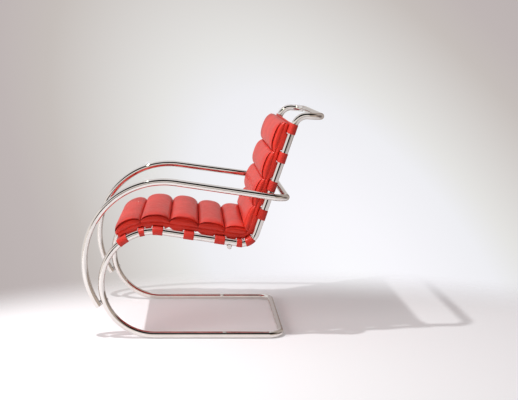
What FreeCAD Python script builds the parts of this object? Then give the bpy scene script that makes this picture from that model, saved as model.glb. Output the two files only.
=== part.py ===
import FreeCAD, Part
import math
import os

from FreeCAD import Rotation, Vector

# Cantilever lounge chair of bright bent tube, with a leather cushion in rolls on leather straps.
# Millimetres. +Z is up, +X points to the back of the chair, and the sitter's left side is -Y.
# The origin is on the floor, in the middle of the chair's outline.

# Tube stock
tube_od = 25.4
tube_wall = 2.0
seat_gap = 0.3
bore_gap = 0.15
face_gap = 0.2

# Side frame, walked from the floor bar forward, round the front and up the back
frame_width = 571.5
corner_radius = 50.0
runner_reach = 475.9
front_radius = 197.3
seat_slope = 8.6
rail_length = 288.2
rear_radius = 57.0
back_lean = 18.6
upright_length = 420.8
top_radius = 47.0
top_droop = 4.75
top_reach = 2.0

# Arm, walked from its lower end forward, up and back to the bar behind the uprights
arm_contact_angle = 203.0
arm_leg_gap = 1.4
arm_rise_angle = 124.6
arm_radius = 299.2
arm_slope = 8.1
arm_bar_setback = 62.8
arm_side_gap = 2.0

# Sleeves that join the halves
sleeve_length = 90.0
sleeve_wall = 3.0

# Arm fixings
plug_length = 8.0
plug_sink = 0.5
arm_screw_inset = 16.0
screw_radius = 2.5
screw_end = 4.0
head_radius = 4.5
head_height = 3.0
head_sink = 1.0
washer_radius = 5.5
washer_slack = 0.4

# Cross stretcher under the seat rails
stretcher_station = 253.4
stretcher_od = 19.0
stretcher_drop = 16.6
stretcher_overhang = 11.5
stretcher_chamfer = 2.0

# Leather straps
strap_thickness = 3.2
strap_return_angle = 36.0
strap_overlap = 26.0
wide_strap = 38.0
bend_strap = 32.0
narrow_strap = 20.0
front_strap_station = -151.7
front_narrow_station = -75.2
seat_strap_station = -16.0
seat_strap_pitch = 115.6
rear_narrow_station = 288.7
strap_below_arm = 74.8
strap_above_arm = 35.3
strap_below_top = 17.3

# Cushion
cushion_width = 541.0
cushion_front = -160.3
cushion_top = 785.0
backing_thickness = 13.0
backing_round = 5.0
seat_roll_widths = [101.0, 106.5, 107.0, 99.0]
back_roll_widths = [113.0, 107.0, 106.5]
seat_roll_heights = [38.0, 36.5, 42.0, 37.0, 39.0]
back_roll_heights = [29.0, 33.0, 34.0, 35.0]
seat_roll_past_rail = 43.0
back_roll_past_upright = 17.0
crease_share = 0.69
crease_lean = 20.4
roll_side = 3.0
roll_gap = 0.6
roll_end_share = 0.82
roll_lip_share = 0.52
roll_lip = 9.0
roll_shoulder_run = 34.0
shoulder_share = 0.52
end_draw_in = 2.5

tube_radius = tube_od / 2
tube_bore = tube_radius - tube_wall
half_width = frame_width / 2
left = Vector(0, -1, 0)
forward = Vector(-1, 0, 0)
across = Vector(0, 1, 0)
up = Vector(0, 0, 1)


def turned(vector, axis, degrees):
    return Rotation(axis, degrees).multVec(vector)


def side_heading(degrees):
    """Direction in the side view, measured up from the chair's backward direction."""
    angle = math.radians(degrees)
    return Vector(math.cos(angle), 0, math.sin(angle))


class TubeRun:
    """A tube's centreline as straights and bends, each starting where the last one ended."""

    def __init__(self, start, heading):
        self.point = start
        self.heading = heading
        self.length = 0.0
        self.legs = []

    def straight(self, distance):
        leg = {"start": self.point, "heading": self.heading, "from": self.length, "length": distance,
               "centre": None}
        self.legs.append(leg)
        self.point = self.point + self.heading * distance
        self.length += distance

    def bend(self, radius, degrees, axis):
        centre = self.point + axis.cross(self.heading) * radius
        length = radius * math.radians(degrees)
        leg = {"start": self.point, "heading": self.heading, "from": self.length, "length": length,
               "centre": centre, "axis": axis, "radius": radius}
        self.legs.append(leg)
        self.point = centre + turned(self.point - centre, axis, degrees)
        self.heading = turned(self.heading, axis, degrees)
        self.length += length

    def bend_to(self, radius, heading):
        axis = self.heading.cross(heading).normalize()
        self.bend(radius, math.degrees(self.heading.getAngle(heading)), axis)

    def leg_at(self, distance):
        for leg in self.legs:
            if distance <= leg["from"] + leg["length"] + 1e-9:
                return leg
        return self.legs[-1]

    def at(self, distance):
        """Point and heading at a distance along the run."""
        leg = self.leg_at(distance)
        along = distance - leg["from"]
        if leg["centre"] is None:
            return leg["start"] + leg["heading"] * along, leg["heading"]
        degrees = math.degrees(along / leg["radius"])
        point = leg["centre"] + turned(leg["start"] - leg["centre"], leg["axis"], degrees)
        return point, turned(leg["heading"], leg["axis"], degrees)

    def stretches(self, start, end):
        """The parts of the run's legs that lie between two distances."""
        for leg in self.legs:
            low = max(start, leg["from"])
            high = min(end, leg["from"] + leg["length"])
            if high - low > 1e-6:
                yield leg, low, high

    def edges(self, start, end, offset=0.0):
        """Edges beside the run in the side view, moved to its upper side by an offset."""
        found = []
        for leg, low, high in self.stretches(start, end):
            first = self.beside(low, offset, leg)
            last = self.beside(high, offset, leg)
            if leg["centre"] is None:
                found.append(Part.LineSegment(first, last).toShape())
            else:
                middle = self.beside((low + high) / 2, offset, leg)
                found.append(Part.Arc(first, middle, last).toShape())
        return found

    def beside(self, distance, offset, leg=None):
        point, heading = self.at(distance)
        return point + upper_side(heading) * offset

    def sweep(self, face_at, start, end):
        """Solid swept by a flat face that is carried square to the run."""
        solids = []
        for leg, low, high in self.stretches(start, end):
            face = face_at(*self.at(low + 1e-7))
            if leg["centre"] is None:
                solids.append(face.extrude(leg["heading"] * (high - low)))
            else:
                degrees = math.degrees((high - low) / leg["radius"])
                solids.append(face.revolve(leg["centre"], leg["axis"], degrees))
        return joined(solids)

    def rod(self, radius):
        """Round bar along the whole run."""

        def section(point, heading):
            return Part.Face(Part.Wire(Part.Circle(point, heading, radius).toShape()))

        return self.sweep(section, 0.0, self.length)


def upper_side(heading):
    """The side of a side-view heading on which the cushion lies."""
    return Vector(-heading.z, 0, heading.x)


def joined(solids):
    shape = solids[0]
    if len(solids) > 1:
        shape = shape.multiFuse(solids[1:]).removeSplitter()
    return shape


def group(solids):
    return Part.makeCompound(solids)


def mirrored(shape):
    return shape.mirror(Vector(0, 0, 0), across)


def cylinder(radius, start, direction, length):
    return Part.makeCylinder(radius, length, start, direction)


def screw_body(seat, direction, length):
    """Screw with its head outside the seat and its shank along the direction."""
    head = cylinder(head_radius, seat - direction * head_height, direction, head_height)
    shank = cylinder(screw_radius, seat, direction, length)
    return head.fuse(shank).removeSplitter()


def edge_index(shape, centre):
    """Index of the round edge whose centre is at a point."""
    for index, edge in enumerate(shape.Edges):
        if isinstance(edge.Curve, Part.Circle) and edge.Curve.Center.distanceToPoint(centre) < 1e-3:
            return index
    raise ValueError("no round edge there")


def frame_run():
    """Left half of the frame: from the middle of the floor bar to the middle of the top bar."""
    run = TubeRun(Vector(0, -face_gap / 2, tube_radius), left)
    bar_straight = half_width - corner_radius - face_gap / 2
    run.straight(bar_straight)
    run.bend_to(corner_radius, forward)
    run.straight(runner_reach - corner_radius)
    run.bend(front_radius, 180.0 + seat_slope, across)
    run.straight(rail_length)
    run.bend_to(rear_radius, side_heading(90.0 - back_lean))
    run.straight(upright_length)
    run.bend_to(top_radius, side_heading(-top_droop))
    run.straight(top_reach)
    run.bend_to(corner_radius, across)
    run.straight(bar_straight)
    return run


frame = frame_run()
front_curve = frame.legs[3]
rail = frame.legs[4]
rear_bend = frame.legs[5]
upright = frame.legs[6]
rail_start = rail["from"]
crease = rear_bend["from"] + rear_bend["length"] / 2


def on_rail(station):
    """Distance along the frame run of a station counted from the front end of the seat rail."""
    return rail_start + station


def arm_run():
    """Left half of the arms: from the lower front end to the middle of the bar behind the back."""
    centre = front_curve["centre"]
    contact = side_heading(arm_contact_angle)
    start = centre + contact * (front_radius + tube_od + arm_leg_gap)
    rise = side_heading(arm_rise_angle)
    slope = side_heading(-arm_slope)
    tangent = arm_tangent(start, rise)
    crossing = crossing_x(tangent, slope)
    outset = tube_od + arm_side_gap
    splay = math.degrees(math.asin(outset / (crossing - start.x)))
    plane_turn = Rotation(up, -splay)
    run = TubeRun(start, plane_turn.multVec(rise))
    run.bend(arm_radius, arm_rise_angle + arm_slope, plane_turn.multVec(across))
    run.splay = splay
    crossing_z = tangent.z + (crossing - tangent.x) * slope.z / slope.x
    run.crossing = Vector(crossing, -half_width, crossing_z)
    heading = run.heading
    bar_x = run.crossing.x + arm_bar_setback
    turn = heading.getAngle(across)
    corner_run = corner_radius * math.tan(turn / 2)
    run.straight((bar_x - run.point.x) / heading.x - corner_run)
    run.bend_to(corner_radius, across)
    run.straight(-run.point.y - face_gap / 2)
    return run


def arm_tangent(start, rise):
    """Where the arm's curve runs out into its straight, before the arm is splayed."""
    centre = start + rise.cross(across) * -arm_radius
    return centre + turned(start - centre, across, arm_rise_angle + arm_slope)


def crossing_x(tangent, slope):
    """Where the arm's straight passes the upright in the side view."""
    foot = upright["start"]
    lean = upright["heading"]
    reach = (tangent - foot).cross(slope).y / lean.cross(slope).y
    return (foot + lean * reach).x


arm = arm_run()
arm_curve = arm.legs[0]

arm_front = arm_curve["centre"].x - arm_radius * math.cos(math.radians(arm.splay)) - tube_radius
top_bar_back = frame.point.x + tube_radius
to_origin = Vector(-(arm_front + top_bar_back) / 2, 0, 0)


def bar_joint(middle):
    """Inner sleeve across the middle of a bar, and the socket that takes it in each half."""
    sleeve = cylinder(tube_bore - bore_gap, middle - across * (sleeve_length / 2), across, sleeve_length)
    hollow_radius = tube_bore - bore_gap - sleeve_wall
    hollow = cylinder(hollow_radius, middle - across * sleeve_length, across, 2 * sleeve_length)
    socket_length = sleeve_length + 2 * face_gap
    socket = cylinder(tube_bore, middle - across * (socket_length / 2), across, socket_length)
    return sleeve.cut(hollow), socket


def frame_middle(point):
    return Vector(point.x, 0, point.z)


def front_fixing():
    """Where the screw that ties the arm's lower end to the front curve meets both tubes, and its axis."""
    on_arm, heading = arm.at(arm_screw_inset)
    centre = front_curve["centre"]
    outward = Vector(on_arm.x - centre.x, 0, on_arm.z - centre.z).normalize()
    on_leg = centre + outward * front_radius
    return on_leg, on_arm, (on_arm - on_leg).normalize()


def fixing_parts(on_near, on_far, axis):
    """Screw and washer between two tubes, with the screw's holes: its head sits on the near tube."""
    apart = (on_far - on_near).Length
    seat = on_near - axis * (tube_radius - head_sink)
    reach = apart + tube_radius - head_sink - screw_end
    screw = screw_body(seat, axis, reach)
    washer = cylinder(washer_radius, on_near + axis * (tube_radius + washer_slack), axis,
                      apart - tube_od - 2 * washer_slack)
    hole = cylinder(screw_radius + bore_gap, seat - axis, axis, reach + 1 + seat_gap)
    recess = cylinder(head_radius + bore_gap, seat - axis * tube_od, axis, tube_od)
    return washer.cut(hole), screw, [recess, hole]


def arm_plug():
    """End plug of an arm, and its socket."""
    start = arm_curve["start"]
    heading = arm_curve["heading"]
    plug = cylinder(tube_bore - bore_gap, start + heading * plug_sink, heading, plug_length)
    socket_length = 2 * plug_length + plug_sink + face_gap
    socket = cylinder(tube_bore, start - heading * plug_length, heading, socket_length)
    return plug, socket


def strap_face(point, heading):
    """Flat outline of a strap, square to the rails: one run above them that wraps both and comes back under."""
    normal = upper_side(heading)
    inner = tube_radius + seat_gap
    outer = inner + strap_thickness
    turn = math.radians(strap_return_angle)
    rise = math.sin(turn)
    run = math.cos(turn)
    hole_end = inner * rise + (inner + inner * run) / rise * run
    tail_start = outer * rise + (inner - strap_thickness + outer * run) / rise * run
    tail_end = hole_end + strap_overlap

    def place(side, inward, height):
        return Vector(point.x, side * (half_width - inward), point.z) + normal * height

    def arc(side, radius):
        first = place(side, 0, radius)
        middle = place(side, -radius * math.cos(turn / 2), -radius * math.sin(turn / 2))
        last = place(side, radius * rise, -radius * run)
        return Part.Arc(first, middle, last).toShape()

    def line(*points):
        return [Part.LineSegment(a, b).toShape() for a, b in zip(points, points[1:])]

    outline = []
    for side in (-1, 1):
        outline.append(arc(side, outer))
        outline += line(place(side, outer * rise, -outer * run),
                        place(side, tail_start, inner - strap_thickness),
                        place(side, tail_end, inner - strap_thickness),
                        place(side, tail_end, inner))
    outline += line(place(-1, tail_end, inner), place(1, tail_end, inner))
    outline += line(place(-1, 0, outer), place(1, 0, outer))
    wires = [Part.Wire(Part.__sortEdges__(outline))]
    for side in (-1, 1):
        loop = [arc(side, inner)]
        loop += line(place(side, inner * rise, -inner * run), place(side, hole_end, inner), place(side, 0, inner))
        wires.append(Part.Wire(Part.__sortEdges__(loop)))
    return Part.Face(wires, "Part::FaceMakerBullseye")


def strap(station, width):
    middle = on_rail(station)
    return frame.sweep(strap_face, middle - width / 2, middle + width / 2)


cushion_floor = tube_radius + strap_thickness + 2 * seat_gap
roll_floor = cushion_floor + backing_thickness + seat_gap


def cushion_backing():
    """Padded backing under all the rolls, which turns the corner between seat and back."""
    start = on_rail(cushion_front)
    end = on_rail(cushion_top)
    lower = frame.edges(start, end, cushion_floor)
    upper = frame.edges(start, end, cushion_floor + backing_thickness)
    ends = []
    for distance in (start, end):
        ends.append(Part.LineSegment(frame.beside(distance, cushion_floor),
                                     frame.beside(distance, cushion_floor + backing_thickness)).toShape())
    outline = Part.Wire(Part.__sortEdges__(lower + upper + ends))
    slab = Part.Face(outline).extrude(across * cushion_width)
    slab.translate(across * (half_width - cushion_width / 2))
    rims = [edge for edge in slab.Edges if lies_across(edge) and not near_crease(edge)]
    return slab.makeFillet(backing_round, rims)


def lies_across(edge):
    """True for the four long edges at the front and top ends of the backing."""
    first = edge.Vertexes[0].Point
    last = edge.Vertexes[-1].Point
    return abs(abs(last.y - first.y) - cushion_width) < 1e-3


def near_crease(edge):
    """True for a seam line of the backing that isn't at its front or top end."""
    point = edge.Vertexes[0].Point
    for distance in (on_rail(cushion_front), on_rail(cushion_top)):
        centre = frame.beside(distance, cushion_floor + backing_thickness / 2)
        if math.hypot(point.x - centre.x, point.z - centre.z) < backing_thickness:
            return False
    return True


def distance_on_surface(start, width):
    """Distance along the run that covers a width measured on the backing's upper surface."""
    left_over = width
    distance = start
    for leg, low, high in frame.stretches(start, frame.length):
        stretch = (high - low) * surface_share(leg)
        if stretch >= left_over:
            return low + left_over / surface_share(leg)
        left_over -= stretch
        distance = high
    return distance


def surface_share(leg):
    """Length on the backing's upper surface for each millimetre of the tube's centreline."""
    if leg["centre"] is None:
        return 1.0
    outward = upper_side(leg["heading"]).dot((leg["start"] - leg["centre"]).normalize())
    return (leg["radius"] + outward * roll_floor) / leg["radius"]


def roll_bounds(start, widths):
    bounds = [start]
    for width in widths:
        bounds.append(distance_on_surface(bounds[-1], width))
    return bounds


def roll_section(run, low, high, height, inset, y):
    """Closed outline of a roll at one place across the chair: floor, short sides and a three-centred arch."""
    start = low + roll_gap / 2 + inset
    end = high - roll_gap / 2 - inset
    floor = run.edges(start, end, roll_floor)
    left_foot = run.beside(start, roll_floor)
    right_foot = run.beside(end, roll_floor)
    left_top = run.beside(start, roll_floor + roll_side)
    right_top = run.beside(end, roll_floor + roll_side)
    chord = (right_top - left_top).normalize()
    rise = upper_side(chord)
    middle = (left_top + right_top) * 0.5
    half = (right_top - left_top).Length / 2
    arch = height - roll_side
    shoulder = arch * shoulder_share
    crown = (half * half + arch * arch - 2 * half * shoulder) / (2 * (arch - shoulder))
    lean = math.atan2(half - shoulder, crown - arch)

    def place(along, above):
        return middle + chord * along + rise * above

    def shoulder_point(side, angle):
        return place(side * (half - shoulder + shoulder * math.sin(angle)), shoulder * math.cos(angle))

    edges = list(floor)
    edges.append(Part.LineSegment(right_foot, right_top).toShape())
    right_knee = shoulder_point(1, lean)
    left_knee = shoulder_point(-1, lean)
    edges.append(Part.Arc(right_top, shoulder_point(1, (lean + math.pi / 2) / 2), right_knee).toShape())
    edges.append(Part.Arc(right_knee, place(0, arch), left_knee).toShape())
    edges.append(Part.Arc(left_knee, shoulder_point(-1, (lean + math.pi / 2) / 2), left_top).toShape())
    edges.append(Part.LineSegment(left_top, left_foot).toShape())
    outline = Part.Wire(edges)
    outline.translate(across * (y + half_width))
    return outline


def across_face(face):
    """A side-view face carried across the chair, well past both sides of the cushion."""
    block = face.extrude(across * 2 * cushion_width)
    block.translate(across * (half_width - cushion_width))
    return block


def beside_crease(toward):
    """Space on one side of the plane in which the last seat roll and the first back roll press together."""
    foot = frame.beside(rear_bend["from"] + crease_share * rear_bend["length"], roll_floor)
    heading = side_heading(crease_lean)
    rise = upper_side(heading)
    reach = 4 * max(seat_roll_heights)
    below = 2 * tube_od
    near = foot + heading * (toward * roll_gap / 2)
    far = near + heading * (toward * reach)
    corners = [near - rise * below, near + rise * reach, far + rise * reach, far - rise * below]
    return across_face(Part.Face(Part.makePolygon(corners + corners[:1])))


def below_rolls():
    """Space from the tube's centreline up to just over the backing, round the corner of seat and back."""
    start = on_rail(0.0)
    end = crease + (crease - start)
    edges = frame.edges(start, end) + frame.edges(start, end, roll_floor)
    for distance in (start, end):
        edges.append(Part.LineSegment(frame.beside(distance, 0), frame.beside(distance, roll_floor)).toShape())
    return across_face(Part.Face(Part.Wire(Part.__sortEdges__(edges))))


def roll_body(run, low, high, crest):
    """One stuffed roll: crowned in the middle and drawn in at both sides of the chair."""
    half = cushion_width / 2
    end_height = crest * roll_end_share
    places = [(half, crest * roll_lip_share, end_draw_in), (half - roll_lip, end_height, 0.4 * end_draw_in),
              (half - roll_lip - roll_shoulder_run, (crest + end_height) / 2, 0.0),
              (half * 0.4, crest, 0.0)]
    sections = [roll_section(run, low, high, height, inset, -y) for y, height, inset in places]
    sections += [roll_section(run, low, high, height, inset, y) for y, height, inset in reversed(places)]
    return Part.makeLoft(sections, True, True)


def crease_roll(station, direction, crest):
    """A roll beside the crease: laid out straight, then pressed flat by its neighbour and by the backing."""
    leg = rail
    foot = leg["start"] + leg["heading"] * leg["length"]
    past = seat_roll_past_rail
    if direction > 0:
        leg = upright
        foot = leg["start"]
        past = back_roll_past_upright
    point, heading = frame.at(station)
    width = abs((foot - point).dot(leg["heading"])) + past
    start = point
    if direction > 0:
        start = point - heading * width
    run = TubeRun(start, leg["heading"])
    run.straight(width)
    roll = roll_body(run, 0.0, width, crest)
    return roll.common(beside_crease(direction)).cut(below_rolls())


def crease_reach():
    """How far past a straight's end the backing's two flat upper surfaces would meet."""
    half_turn = math.radians(90.0 - back_lean + seat_slope) / 2
    return (rear_radius - roll_floor) * math.tan(half_turn)


def export(name, shape):
    placed = shape.copy()
    placed.translate(to_origin)
    placed.exportStep(os.path.join("parts", name + ".step"))


def build_frame():
    floor_sleeve, floor_socket = bar_joint(frame_middle(frame.legs[0]["start"]))
    top_sleeve, top_socket = bar_joint(frame_middle(frame.point))
    arm_sleeve, arm_socket = bar_joint(frame_middle(arm.point))
    on_leg, on_arm, axis = front_fixing()
    front_washer, front_screw, front_holes = fixing_parts(on_leg, on_arm, axis)
    beside_upright = Vector(arm.crossing.x, -half_width - tube_od - arm_side_gap, arm.crossing.z)
    rear_washer, rear_screw, rear_holes = fixing_parts(arm.crossing, beside_upright, left)
    plug, plug_socket = arm_plug()

    half_frame = frame.rod(tube_radius)
    half_arm = arm.rod(tube_radius)
    frame_clear = frame.rod(tube_radius + seat_gap)
    stretcher = seat_stretcher([frame_clear, mirrored(frame_clear)])
    for hollow in [floor_socket, top_socket] + front_holes + rear_holes:
        half_frame = half_frame.cut(hollow)
    for hollow in [arm_socket, plug_socket, front_holes[1], rear_holes[1]]:
        half_arm = half_arm.cut(hollow)

    export("frame_tube_left", half_frame)
    export("frame_tube_right", mirrored(half_frame))
    export("arm_tube_left", half_arm)
    export("arm_tube_right", mirrored(half_arm))
    export("floor_bar_sleeve", floor_sleeve)
    export("top_bar_sleeve", top_sleeve)
    export("arm_bar_sleeve", arm_sleeve)
    export("arm_plug_left", plug)
    export("arm_plug_right", mirrored(plug))
    export("arm_front_washers", group([front_washer, mirrored(front_washer)]))
    export("arm_rear_washers", group([rear_washer, mirrored(rear_washer)]))
    export("arm_front_screws", group([front_screw, mirrored(front_screw)]))
    export("arm_rear_screws", group([rear_screw, mirrored(rear_screw)]))
    export("seat_stretcher", stretcher)


def seat_stretcher(rails):
    """Cross bar with chamfered ends, notched over both rails from below."""
    point, heading = frame.at(on_rail(stretcher_station))
    down = -upper_side(heading)
    middle = Vector(point.x, 0, point.z) + down * stretcher_drop
    reach = half_width + stretcher_overhang
    bar = cylinder(stretcher_od / 2, middle - across * reach, across, 2 * reach)
    rims = [bar.Edges[edge_index(bar, middle + across * (side * reach))] for side in (-1, 1)]
    bar = bar.makeChamfer(stretcher_chamfer, rims)
    for rail_space in rails:
        bar = bar.cut(rail_space)
    return bar


def back_strap_distances():
    """Places of the back's straps along the frame run: one below where the arm crosses, and three above it."""
    crossing = upright["from"] + (arm.crossing - upright["start"]).dot(upright["heading"])
    above = crossing + strap_above_arm
    top = upright["from"] + upright["length"] - strap_below_top
    return [crossing - strap_below_arm, above, (above + top) / 2, top]


def build_straps():
    seat_places = [(front_strap_station, wide_strap)]
    for count in range(3):
        seat_places.append((seat_strap_station + count * seat_strap_pitch, wide_strap))
    seat_places.append((crease - rail_start, bend_strap))
    narrow_places = [(front_narrow_station, narrow_strap), (rear_narrow_station, narrow_strap)]
    back_places = [(distance - rail_start, wide_strap) for distance in back_strap_distances()]
    kinds = {"seat_strap": seat_places, "narrow_strap": narrow_places, "back_strap": back_places}
    for label, places in kinds.items():
        for number, (station, width) in enumerate(places, 1):
            export(label + "_" + str(number), strap(station, width))


def build_cushion():
    export("cushion_backing", cushion_backing())
    seat_bounds = roll_bounds(on_rail(cushion_front), seat_roll_widths)
    back_start = upright["from"] - crease_reach()
    back_bounds = roll_bounds(back_start + back_roll_widths[0], back_roll_widths[1:]) + [on_rail(cushion_top)]
    rolls = [roll_body(frame, *place) for place in zip(seat_bounds, seat_bounds[1:], seat_roll_heights)]
    rolls.append(crease_roll(seat_bounds[-1], -1, seat_roll_heights[-1]))
    for number, roll in enumerate(rolls, 1):
        export("seat_roll_" + str(number), roll)
    rolls = [crease_roll(back_bounds[0], 1, back_roll_heights[0])]
    rolls += [roll_body(frame, *place) for place in zip(back_bounds, back_bounds[1:], back_roll_heights[1:])]
    for number, roll in enumerate(rolls, 1):
        export("back_roll_" + str(number), roll)


os.makedirs("parts", exist_ok=True)
build_frame()
build_straps()
build_cushion()
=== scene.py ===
import math

import bmesh
import bpy
from bpy.props import FloatProperty, FloatVectorProperty, IntProperty, PointerProperty
from mathutils import Matrix, Quaternion, Vector, noise


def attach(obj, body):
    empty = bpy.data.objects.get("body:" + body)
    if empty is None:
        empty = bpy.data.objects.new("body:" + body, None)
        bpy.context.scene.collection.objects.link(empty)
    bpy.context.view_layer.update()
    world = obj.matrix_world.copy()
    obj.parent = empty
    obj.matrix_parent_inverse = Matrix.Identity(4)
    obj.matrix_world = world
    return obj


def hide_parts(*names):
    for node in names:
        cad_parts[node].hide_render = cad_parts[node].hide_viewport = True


bl_info = {
    "name": "Cantilever lounge chair",
    "version": (1, 0, 0),
    "blender": (4, 5, 0),
    "location": "3D View > Sidebar > Lounge chair",
    "description": "Bent chrome tube, leather straps and a cushion in leather rolls, round the packed part",
    "category": "Object",
}

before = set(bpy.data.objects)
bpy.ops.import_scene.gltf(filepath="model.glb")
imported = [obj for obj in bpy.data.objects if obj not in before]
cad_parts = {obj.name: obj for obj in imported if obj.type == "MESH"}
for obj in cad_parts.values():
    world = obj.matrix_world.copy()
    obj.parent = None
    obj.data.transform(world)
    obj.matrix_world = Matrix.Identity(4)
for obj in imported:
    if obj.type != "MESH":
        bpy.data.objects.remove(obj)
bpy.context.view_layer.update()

MM = 0.001

# Points closer than this are merged, and edges over this angle stay crisp
SAME_POINT = 0.02
NO_LENGTH = 0.005
CRISP_ANGLE = 40

UP = Vector((0, 0, 1))
ACROSS = Vector((0, 1, 0))
LEFT = Vector((0, -1, 0))
FORWARD = Vector((-1, 0, 0))

# Side frame in millimetres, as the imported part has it
TUBE_RADIUS = 12.7
HALF_WIDTH = 285.75
CORNER_RADIUS = 50.0
FLOOR_BAR_X = 299.733
RUNNER = 425.9
FRONT_RADIUS = 197.3
SEAT_SLOPE = 8.6
RAIL = 288.2
REAR_RADIUS = 57.0
BACK_LEAN = 18.6
UPRIGHT = 420.8
TOP_RADIUS = 47.0
TOP_DROOP = 4.75
TOP_REACH = 2.0
BAR_STRAIGHT = 235.65
MIDDLE_GAP = 0.1
TUBE_WALL = 2.0
TUBE_CHAMFER = 0.4
BORE_DEPTH = 11.0

# Arm in millimetres
ARM_START = (-382.452, -285.75, 122.437)
ARM_RISE = 124.6
ARM_SPLAY = 2.4914
ARM_RADIUS = 299.2
ARM_TURN = 132.7
ARM_STRAIGHT = 357.219
ARM_BAR_STRAIGHT = 263.608

# Cushion and straps in millimetres, counted along the tube from the front end of the seat rail
CUSHION_FRONT = -160.3
CUSHION_TOP = 785.0
CUSHION_HALF = 270.5
BACKING_LOW = 16.5
BACKING_HIGH = 29.5
ROLL_FLOOR = 29.8
SEAT_BOUNDS = (-160.3, -72.55, 22.99, 129.99, 228.99)
BACK_BOUNDS = (457.96, 564.96, 671.46, 785.0)
SEAT_CROWNS = (38.0, 36.5, 42.0, 37.0, 39.0)
BACK_CROWNS = (29.0, 33.0, 34.0, 35.0)
SEAT_PAST_RAIL = 43.0
BACK_PAST_UPRIGHT = 17.0
CREASE_SHARE = 0.69
CREASE_LEAN = 20.4
STRAP_INNER = 13.0
STRAPS = {
    "seat_strap": ((-151.7, 38.0), (-16.0, 38.0), (99.6, 38.0), (215.2, 38.0), (327.99, 32.0)),
    "narrow_strap": ((-75.2, 20.0), (288.7, 20.0)),
    "back_strap": ((440.42, 38.0), (550.52, 38.0), (660.9, 38.0), (771.29, 38.0)),
}


def linear(hex_code):
    """sRGB hex colour as linear RGBA."""
    values = [int(hex_code[i:i + 2], 16) / 255 for i in (1, 3, 5)]
    return [v / 12.92 if v <= 0.04045 else ((v + 0.055) / 1.055) ** 2.4 for v in values] + [1.0]


def add_node(tree, kind, inputs=None, **settings):
    """Adds a node, sets it up, and fills or links its inputs by name or index. A kind without its family is
    one of the tree's own, a node given as an input is its first output, and a hex colour is made linear."""
    if "Node" not in kind:
        kind = tree.bl_idname.replace("Tree", "") + kind
    node = tree.nodes.new(kind)
    for name, value in settings.items():
        setattr(node, name, value)
    for key, value in (inputs or {}).items():
        if isinstance(value, bpy.types.Node):
            value = value.outputs[0]
        if isinstance(value, bpy.types.NodeSocket):
            tree.links.new(value, node.inputs[key])
            continue
        if isinstance(value, str) and value.startswith("#"):
            value = linear(value)
        node.inputs[key].default_value = value
    return node


def ramp(tree, value, *stops):
    """Colour ramp over a value, with its stops as (position, hex colour)."""
    node = add_node(tree, "ValToRGB", {"Fac": value})
    elements = node.color_ramp.elements
    while len(elements) < len(stops):
        elements.new(0.5)
    for element, (position, hex_code) in zip(elements, stops):
        element.position = position
        element.color = linear(hex_code)
    return node


def ranged(tree, value, from_min, from_max, to_min=0.0, to_max=1.0, interpolation="LINEAR"):
    """A value moved from one range to another, and kept inside it."""
    return add_node(tree, "MapRange", {"Value": value, "From Min": from_min, "From Max": from_max,
                                       "To Min": to_min, "To Max": to_max}, interpolation_type=interpolation)


def mixed(tree, share, first, second, blend="MIX"):
    """Mix of two colours."""
    inputs = {0: share, 6: first, 7: second}
    return add_node(tree, "Mix", inputs, data_type="RGBA", blend_type=blend).outputs[2]


def new_material(name):
    """New material with an empty tree, and its place on the piece in metres."""
    material = bpy.data.materials.new(name)
    material.use_nodes = True
    tree = material.node_tree
    tree.nodes.clear()
    return material, tree, add_node(tree, "TexCoord").outputs["Object"]


def principled(tree, **inputs):
    """Ends a tree in the Principled shader, with _ for each space in an input's name."""
    named = {key.replace("_", " "): value for key, value in inputs.items()}
    add_node(tree, "OutputMaterial", {"Surface": add_node(tree, "BsdfPrincipled", named)})


def polished_chrome():
    """Chromium plate over buffed steel tube: near-mirror, with faint haze where hands have been."""
    material, tree, place = new_material("polished_chrome_plate")
    # Haze patches are about 40 mm across, as finger wipes are
    haze = add_node(tree, "TexNoise", {"Vector": place, "Scale": 25.0, "Detail": 3.0})
    # Buffing leaves a waviness about 12 mm long that bends reflections slightly
    wave = add_node(tree, "TexNoise", {"Vector": place, "Scale": 80.0, "Detail": 1.0})
    bump = add_node(tree, "Bump", {"Strength": 0.05, "Distance": 0.0005, "Height": wave})
    principled(tree, Base_Color=mixed(tree, haze, "#ebe6e2", "#dbd6d2"), Metallic=1.0,
               Roughness=ranged(tree, haze, 0.35, 0.75, 0.02, 0.055), Normal=bump)
    return material


def turned_steel():
    """Turned steel screws, washers and sleeves: duller than the tube, with fine turning rings."""
    material, tree, place = new_material("turned_steel")
    # Turning marks are drawn 0.6 mm apart, coarser than the real ones, so that they show
    rings = add_node(tree, "TexWave", {"Vector": place, "Scale": 260.0, "Distortion": 2.0}, wave_type="RINGS")
    marks = rings.outputs["Fac"]
    bump = add_node(tree, "Bump", {"Strength": 0.15, "Distance": 0.0001, "Height": marks})
    principled(tree, Base_Color="#b4b3b0", Metallic=1.0, Roughness=ranged(tree, marks, 0.0, 1.0, 0.24, 0.38),
               Normal=bump)
    return material


def moulded_nylon():
    """Moulded black nylon plugs: matt, with a fine spark-eroded texture."""
    material, tree, place = new_material("moulded_black_nylon")
    # Mould texture with a grain of 0.5 mm
    grain = add_node(tree, "TexNoise", {"Vector": place, "Scale": 2000.0, "Detail": 2.0})
    bump = add_node(tree, "Bump", {"Strength": 0.2, "Distance": 0.0001, "Height": grain})
    principled(tree, Base_Color=mixed(tree, grain, "#141414", "#232323"), Roughness=0.55, Normal=bump)
    return material


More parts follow.
